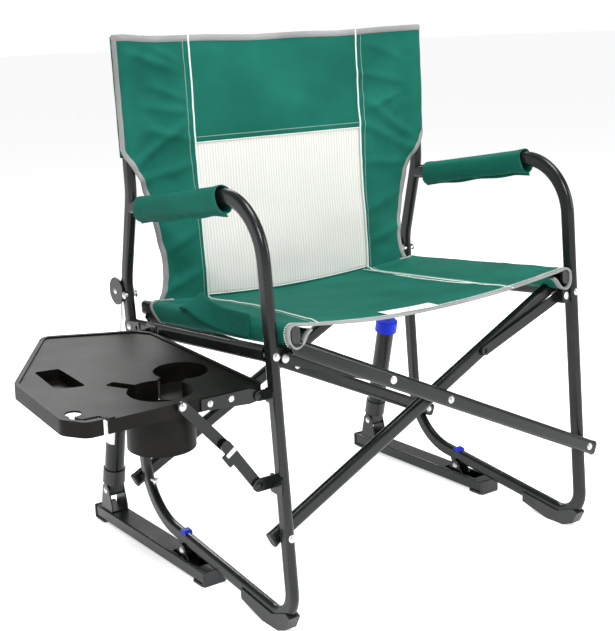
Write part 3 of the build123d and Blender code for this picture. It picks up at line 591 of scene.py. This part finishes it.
def column_at(line, x):
    """Fractional column of the seat's top surface at a place across the chair."""
    top = [(k, a) for k, (a, w) in enumerate(line) if abs(a) <= 262.1 and w > 430]
    for (k, a), (_, b) in zip(top, top[1:]):
        if min(a, b) <= x <= max(a, b):
            return k + (x - a) / (b - a)
    return top[0][0] if x < 0 else top[-1][0]


def seat_spots(line, places):
    """Fractional grid spots of places given as (across, back) on the seat."""
    spots = []
    for x, v in places:
        column = column_at(line, x)
        start = seat_front(x)
        spots.append(((v - start) / (SEAT_REAR - start) * 90, column))
    return spots


def dense(places, steps=8):
    return [(p.x, p.y) for p in smooth([(a, b, 0) for a, b in places], steps)]


def make_seat():
    line, rows = seat_rows()
    normals = row_normals(rows)
    cloth = cloth_grid("seat_cloth", rows, GREEN, CLOTH)
    made = [cloth]
    front = rows[0]
    inwards = [b - a for a, b in zip(rows[0], rows[1])]
    made.append(binding("seat_front_tape", front, inwards, normals[0], wide=10))
    for side_name, columns in (("left", range(0, 52)), ("right", range(len(line) - 52, len(line)))):
        rear = [rows[-1][k] for k in columns]
        back_ways = [rows[-2][k] - rows[-1][k] for k in columns]
        lines = [normals[-1][k] for k in columns]
        made.append(binding("seat_rear_tape_" + side_name, rear, back_ways, lines, wide=9))
    seams = {
        "left": ((-181, 146), (-180, 90), (-178, 40), (-181, -20), (-203, -124), (-217, -195), (-236, -259)),
        "right": ((178, 146), (167, 87), (157, 10), (153, -57), (152, -140), (156, -210), (161, -262)),
    }
    for side_name, places in seams.items():
        path, ways = grid_path(rows, normals, seat_spots(line, dense(places)))
        made.append(piping("seat_piping_" + side_name, path, ways, radius=1.1))
        shift = -8 if side_name == "left" else 8
        path, ways = grid_path(rows, normals, seat_spots(line, dense([(x + shift, v) for x, v in places])))
        made.append(stitching("seat_seam_stitches_" + side_name, path, ways))
    for sign, side_name in ((-1, "left"), (1, "right")):
        places = [(sign * 259, v) for v in (-262, -130, 0, 140)]
        path, ways = grid_path(rows, normals, seat_spots(line, dense(places)))
        made.append(stitching("sleeve_seam_stitches_" + side_name, path, ways, DARK_THREAD))
    path, ways = grid_path(rows, normals, [(2.6, c / 2) for c in range(2 * 22, 2 * (len(line) - 22))])
    made.append(stitching("seat_front_stitches", path, ways, LABEL, pitch=3.6, wide=0.7, lift=1.5))
    made.append(seat_label(line, rows, normals))
    return cloth, made


def seat_label(line, rows, normals):
    across = [-98 + 103 * k / 24 for k in range(25)]
    back = [-246 + 25 * k / 6 for k in range(7)]
    grid = []
    for v in back:
        spots = seat_spots(line, [(x, v) for x in across])
        grid.append(grid_path(rows, normals, spots, lift=1.5)[0])
    return cloth_grid("seat_label", grid, LABEL, 0.5)


# ------------------------------------------------------------------ back
WINDOW_HALF = 178
WINDOW_TOP = 714
SLEEVE_SEAM = 264
SLEEVE_EDGE = 324
BACK_TOP = 896
EDGE_LINE = (
    (440, 276), (455, 275), (470, 267), (490, 263), (512, 262), (540, 265), (575, 271),
    (605, 277), (630, 284), (650, 293), (668, 303), (684, 313), (700, 321), (712, SLEEVE_EDGE),
)
LENS = (
    (SLEEVE_SEAM, 0), (272, 2.4), (282, 6.8), (292, 11.6), (300, 14.2),
    (310, 15.2), (317, 13.4), (321, 8.5), (SLEEVE_EDGE, 1.5),
)


def back_line(w):
    """How far back the middle of the cloth hangs at a height."""
    return between(((440, 152), (700, 141.5), (900, 133.5)), w)


def bulge(x, w):
    """The cloth stands forward of the posts where its sleeve holds them."""
    return between(LENS, abs(x)) * ease(628, 668, w)


def lower_edge(x):
    return 446 - SAG * (1 - min(1.0, abs(x) / 262) ** 2)


def top_edge(x):
    return BACK_TOP - 4.5 * (1 - min(1.0, abs(x) / 310) ** 2) + 0.8 * sin(x / 31)


# soft folds of the back: start, end, width and height, in mm
FOLDS = (
    ((-300, 868), (-212, 838), 7, 3.2), ((-262, 885), (-196, 846), 6, 2.4),
    ((-256, 812), (-200, 790), 7, 2.8), ((-262, 778), (-196, 768), 8, 2.4),
    ((-266, 742), (-194, 722), 7, 2.2), ((-300, 690), (-205, 742), 8, 2.6),
    ((-292, 662), (-200, 676), 8, 2.2), ((-270, 600), (-196, 628), 8, 2.0),
    ((-262, 530), (-198, 560), 9, 1.8), ((262, 842), (196, 872), 8, 2.4),
    ((268, 796), (190, 812), 8, 2.6), ((262, 770), (200, 748), 7, 2.4),
    ((290, 690), (200, 760), 8, 3.4), ((286, 668), (196, 716), 8, 2.8),
    ((280, 640), (192, 650), 8, 2.2), ((270, 590), (196, 560), 9, 1.8),
    ((262, 520), (196, 500), 9, 1.6), ((-256, 470), (-196, 492), 8, 1.8),
    ((-150, 880), (-60, 800), 16, 1.6), ((160, 742), (40, 850), 18, 2.0),
    ((150, 730), (-20, 790), 14, 1.6), ((-170, 730), (-90, 800), 15, 1.4),
    ((60, 880), (10, 810), 16, 1.2),
)


def back_rumple(x, w):
    side_share = ease(150, 230, abs(x)) * (1 - 0.6 * ease(300, 320, abs(x)))
    high = rumple(x, w, 110, 2.4, 11) + side_share * rumple(x, w, 38, 2.6, 13)
    for start, end, wide, tall in FOLDS:
        high += crease(x, w, start, end, wide, tall * (0.9 if abs(start[0]) < 180 else 1.9))
    return high


def back_point(x, w, extra=0.0):
    rise = back_rumple(x, w) * ease(884, 860, w) * ease(446, 470, w)
    sway = 9 * (1 - min(1.0, abs(x) / 280) ** 2) * ease(480, 640, w)
    return seat(x, back_line(w) - bulge(x, w) + sway - rise - extra, w)


def back_grid():
    """Rows from the bottom up, columns from left to right; the window falls on whole rows and columns."""
    low_rows, high_rows, side_columns = 60, 44, 22
    inner = [WINDOW_HALF * k / 18 for k in range(19)]
    shares = [k / side_columns for k in range(1, side_columns + 1)]
    columns = [(-1, share) for share in reversed(shares)]
    columns += [(0, -x) for x in reversed(inner[1:])] + [(0, x) for x in inner]
    columns += [(1, share) for share in shares]
    rows = []
    for i in range(low_rows + high_rows + 1):
        row = []
        for sign, value in columns:
            guess = sign * SLEEVE_EDGE if sign else value
            for _ in range(3):
                low, high = lower_edge(guess), top_edge(guess)
                if i <= low_rows:
                    w = low + (WINDOW_TOP - low) * i / low_rows
                else:
                    w = WINDOW_TOP + (high - WINDOW_TOP) * (i - low_rows) / high_rows
                edge = between(EDGE_LINE, w)
                guess = sign * (WINDOW_HALF + (edge - WINDOW_HALF) * value) if sign else value
            row.append(back_point(guess, w))
        rows.append(row)
    return rows, low_rows, side_columns


def make_back():
    rows, window_row, side_columns = back_grid()
    wide = len(rows[0])
    first, last = side_columns, wide - 1 - side_columns
    normals = row_normals(rows)
    bottom_row = 3

    def in_window(i, j):
        return bottom_row <= i < window_row and first <= j < last

    cloth = cloth_grid("back_cloth", rows, GREEN, CLOTH, skip=in_window)
    made = [cloth]
    panel = [
        [rows[i][j] - normals[i][j] * 0.7 * MM for j in range(first, last + 1)]
        for i in range(bottom_row, window_row + 1)
    ]
    made.append(cloth_grid("back_mesh_panel", panel, KNIT, 1.2))
    edges = {"top": (rows[-1], [a - b for a, b in zip(rows[-2], rows[-1])], normals[-1])}
    for side_name, edge, beside in (("left", 0, 1), ("right", -1, -2)):
        inwards = [row[beside] - row[edge] for row in rows]
        edges[side_name] = ([row[edge] for row in rows], inwards, [line[edge] for line in normals])
    for edge_name in ("left", "right", "top"):
        points, inwards, ways = edges[edge_name]
        made.append(binding("back_tape_" + edge_name, points, inwards, ways, wide=9.5))
    for side_name, column in (("left", first), ("right", last)):
        spots = [(i, column) for i in range(len(rows))]
        path, ways = grid_path(rows, normals, spots)
        made.append(piping("back_piping_" + side_name, path, ways, radius=1.5))
        shift = -1.71 if side_name == "left" else 1.71
        path, ways = grid_path(rows, normals, [(i, column + shift) for i in range(len(rows))])
        made.append(stitching("back_seam_stitches_" + side_name, path, ways))
    path, ways = grid_path(rows, normals, [(window_row, c / 2) for c in range(2 * first, 2 * last + 1)])
    made.append(piping("window_top_piping", path, ways, radius=0.9))
    path, ways = grid_path(rows, normals, [(window_row + 2.3, c / 2) for c in range(2 * first, 2 * last + 1)])
    made.append(stitching("window_hem_stitches", path, ways))
    path, ways = grid_path(rows, normals, [(bottom_row, c / 2) for c in range(2 * first, 2 * last + 1)])
    made.append(piping("window_foot_piping", path, ways, radius=0.8))
    for sign, side_name in ((-1, "left"), (1, "right")):
        path = [back_point(sign * SLEEVE_SEAM, w) for w in range(702, 886, 4)]
        ways = [-BACK for _ in path]
        made.append(stitching("sleeve_stitches_" + side_name, path, ways, DARK_THREAD, lift=0.8))
        made.append(back_sleeve(sign, side_name))
    return cloth, made


def back_sleeve(sign, side_name):
    """The rear layer that closes the sleeve round a post."""
    rows = []
    for i in range(41):
        row = []
        for k in range(25):
            x = SLEEVE_SEAM + (SLEEVE_EDGE - SLEEVE_SEAM) * k / 24
            foot = 701 - 4 * (1 - k / 24)
            w = foot + (top_edge(x) - foot) * i / 40
            stand = between(LENS, x) * (1 if k < 24 else 0.4)
            v = back_line(w) + 1.2 + stand + 0.6 * rumple(x, w, 40, 1.5, 21)
            row.append(seat(sign * x, v, w))
        rows.append(row if sign < 0 else list(reversed(row)))
    return cloth_grid("back_sleeve_" + side_name, rows, GREEN, 1.4)


# ------------------------------------------------------------------ arm sleeves, handle and small marks
ARM_FRONT, ARM_REAR = -146, 113
ARM_CORNER_UP, ARM_SLOPE = 648, (648 - 619) / (134 + 241)
ARM_LOOP = (
    (-1, 15.5), (8, 14.2), (13.2, 7), (14.6, -3), (13.5, -13), (9, -20), (3, -24), (-4, -23.5),
    (-9, -19), (-12.2, -11), (-13, 0), (-10.5, 10),
)


def arm_rows(sign):
    rows = []
    loop = [Vector((a, b)) for a, b in ARM_LOOP]
    closed = loop + loop[:3]
    outline = []
    for a, b, c, d in zip([loop[-1]] + closed, closed, closed[1:], closed[2:] + [closed[3]]):
        if len(outline) >= len(loop) * 5:
            break
        for k in range(5):
            outline.append(spline(a, b, c, d, k / 5))
    steps = 56
    for i in range(steps + 1):
        t = i / steps
        v = ARM_FRONT + (ARM_REAR - ARM_FRONT) * t
        w = ARM_CORNER_UP - ARM_SLOPE * (v + 241)
        flare = 1 + 0.07 * (ease(0.1, 0.0, t) + ease(0.9, 1.0, t))
        row = []
        for k, p in enumerate(outline):
            turn = 2 * pi * k / len(outline)
            low = ease(10, -20, p.y)
            high = low * rumple(v + 300 * sign, turn * 18, 34, 1.6, 31)
            high += 0.35 * rumple(v, turn * 20, 60, 1, 33)
            for spot in (-95, -20, 62):
                high += 1.0 * low * exp(-(((v - spot - 16 * sin(turn)) / 7) ** 2))
            out = p.normalized()
            lean = 6 * low * (ease(0.12, 0.0, t) - 0.5 * ease(0.9, 1.0, t))
            spot = p * flare + out * high
            row.append(seat(sign * (HALF + spot.x), v - lean, w + spot.y))
        row.append(row[0])
        rows.append(row)
    return rows


def outward(rows, inside):
    """The same grid, wound so that its normals point away from `inside`."""
    i, j = len(rows) // 2, len(rows[0]) // 4
    away = rows[i][j] - inside
    if row_normals(rows)[i][j].dot(away) > 0:
        return rows
    return [list(reversed(row)) for row in rows]


def make_arm(sign, side_name):
    rows = arm_rows(sign)
    rows = outward(rows, seat(sign * HALF, 0, ARM_CORNER_UP - ARM_SLOPE * 241))
    sleeve = cloth_grid("arm_cover_" + side_name, rows, GREEN, 1.4)
    normals = row_normals(rows)
    made = []
    for end_name, row in (("front", 2.2), ("rear", 53.8)):
        spots = [(row, c) for c in range(len(rows[0]))]
        path, ways = grid_path(rows, normals, spots)
        name = "arm_hem_stitches_" + end_name + "_" + side_name
        made.append(stitching(name, path, ways, DARK_THREAD, pitch=3.4))
    fin = []
    for i in range(57):
        t = i / 56
        v = ARM_FRONT + (ARM_REAR - ARM_FRONT) * t
        w = ARM_CORNER_UP - ARM_SLOPE * (v + 241)
        drop = 6 + 3 * ease(0.12, 0.0, t) + 1.2 * sin(v / 17)
        lean = 6 * (ease(0.12, 0.0, t) - 0.5 * ease(0.9, 1.0, t))
        row = []
        for k in range(4):
            x = sign * (HALF + 4 - 2.5 * k / 3 + 0.8 * sin(v / 23))
            row.append(seat(x, v - lean * (1 + 0.2 * k), w - 22.5 - drop * k / 3))
        fin.append(row)
    if sign < 0:
        fin = [list(reversed(row)) for row in fin]
    made.append(cloth_grid("arm_seam_fin_" + side_name, fin, GREEN, 2.2))
    return sleeve, made


# the handle's middle line: across, back, up, and how far it lies over, in degrees
HANDLE_LINE = (
    (-279, 42, 457.6, 84), (-284, 34, 461, 80), (-288, 20, 468, 66), (-293, 0, 470, 48), (-297, -26, 463, 30),
    (-298.5, -58, 455, 17), (-298.5, -92, 449.5, 11), (-298, -128, 447, 8), (-298, -166, 446, 7),
)


def make_handle():
    """Webbing sewn to the seat sleeve at both ends."""
    path = smooth([(x, v, w) for x, v, w, _ in HANDLE_LINE], 8)
    lean = [p.x for p in smooth([(a, 0, 0) for _, _, _, a in HANDLE_LINE], 8)]
    rows = []
    for p, degrees_over in zip(path, lean):
        over = radians(degrees_over)
        wide_way = Vector((sin(over), 0, cos(over)))
        rows.append([seat(*(p + wide_way * (19 - 38 * k / 8))) for k in range(9)])
    rows = outward(rows, seat(-SEAT_TUBE.x, -50, SEAT_TUBE.z))
    strap = cloth_grid("handle_webbing", rows, WEBBING, 2.0)
    normals = row_normals(rows)
    made = []
    end = len(rows) - 1
    for patch_name, low, high in (("front", end - 11, end - 1.5), ("rear", 1.2, 7.5)):
        corners = ((low, 1), (low, 7), (high, 7), (high, 1), (low, 1), (high, 7), (high, 1), (low, 7))
        spots = []
        for (a, b), (c, d) in zip(corners, corners[1:]):
            spots += [(a + (c - a) * t / 10, b + (d - b) * t / 10) for t in range(10)]
        path_found, ways = grid_path(rows, normals, spots + [corners[-1]])
        name = "handle_stitches_" + patch_name
        made.append(stitching(name, path_found, ways, DARK_THREAD, pitch=3.2, lift=0.5))
    return strap, made


def strut_mark():
    """A plain white strip down the front of the left strut's cylinder."""
    slide = Vector(JOINTS["strut_slide_left"]["axis"]).normalized()
    low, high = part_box("strut_cylinder_left")
    ring_low, ring_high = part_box("strut_ring_left")
    top = (ring_low + ring_high) / 2
    axis = slide if slide.z > 0 else -slide
    x_mid = (low.x + high.x) / 2
    top.x = x_mid
    radius = (high.x - low.x) / 2 / MM
    outward = Vector((-1, 0, 0))
    forward = axis.cross(outward).normalized()
    if forward.y > 0:
        forward = -forward
    rows = []
    for i in range(2):
        row = []
        for k in range(13):
            a = radians(-4 + 62 * k / 12)
            spoke = outward * cos(a) + forward * sin(a)
            row.append(top - axis * (118 - 96 * i) * MM + spoke * (radius + 0.35) * MM)
        rows.append(row)
    middle = (rows[0][6] + rows[1][6]) / 2
    n = row_normals(rows)[0][6]
    if n.dot(middle - (top - axis * 70 * MM)) < 0:
        rows = [list(reversed(row)) for row in rows]
    return cloth_grid("strut_strip_left", rows, WHITE, 0.3)


def brace_band():
    """The white sleeve round the brace's lower link, just below its knee."""
    foot, knee = Vector((-340, -150)), Vector((-391.9, -78.1))
    down = (foot - knee).normalized()
    beside = Vector((-down.y, down.x))
    rows = []
    for share in (10, 17):
        middle = knee + down * share
        row = []
        for a, b in ((-9, 0), (-9, 2.1), (9, 2.1), (9, -2.1), (-9, -2.1), (-9, 0)):
            spot = middle + beside * a
            row.append(table(spot.x, -211.7 + b, spot.y))
        rows.append(row)
    centre = knee + down * 13
    return cloth_grid("brace_band", outward(rows, table(centre.x, -211.7, centre.y)), WHITE, 0.3)


# ------------------------------------------------------------------ build
def ride_all(parts, body):
    for part in parts:
        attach(part, body)


paint_cad_nodes()
seat_cloth, seat_parts = make_seat()
back_cloth, back_parts = make_back()

for part in seat_parts:
    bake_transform(part)
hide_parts("seat_sling")

for part in back_parts:
    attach(part, "side_right")
    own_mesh(part)
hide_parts("back_sling")

for sign, side_name in ((-1, "left"), (1, "right")):
    sleeve, extras = make_arm(sign, side_name)
    ride_all([sleeve] + extras, "side_" + side_name)
    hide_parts("arm_sleeve_" + side_name)

strap, strap_parts = make_handle()
ride_all([strap] + strap_parts, "scissor_a")
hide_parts("carry_handle")

ride_all([strut_mark()], "strut_left")
ride_all([brace_band()], "brace_low")

make_stage()
make_camera()
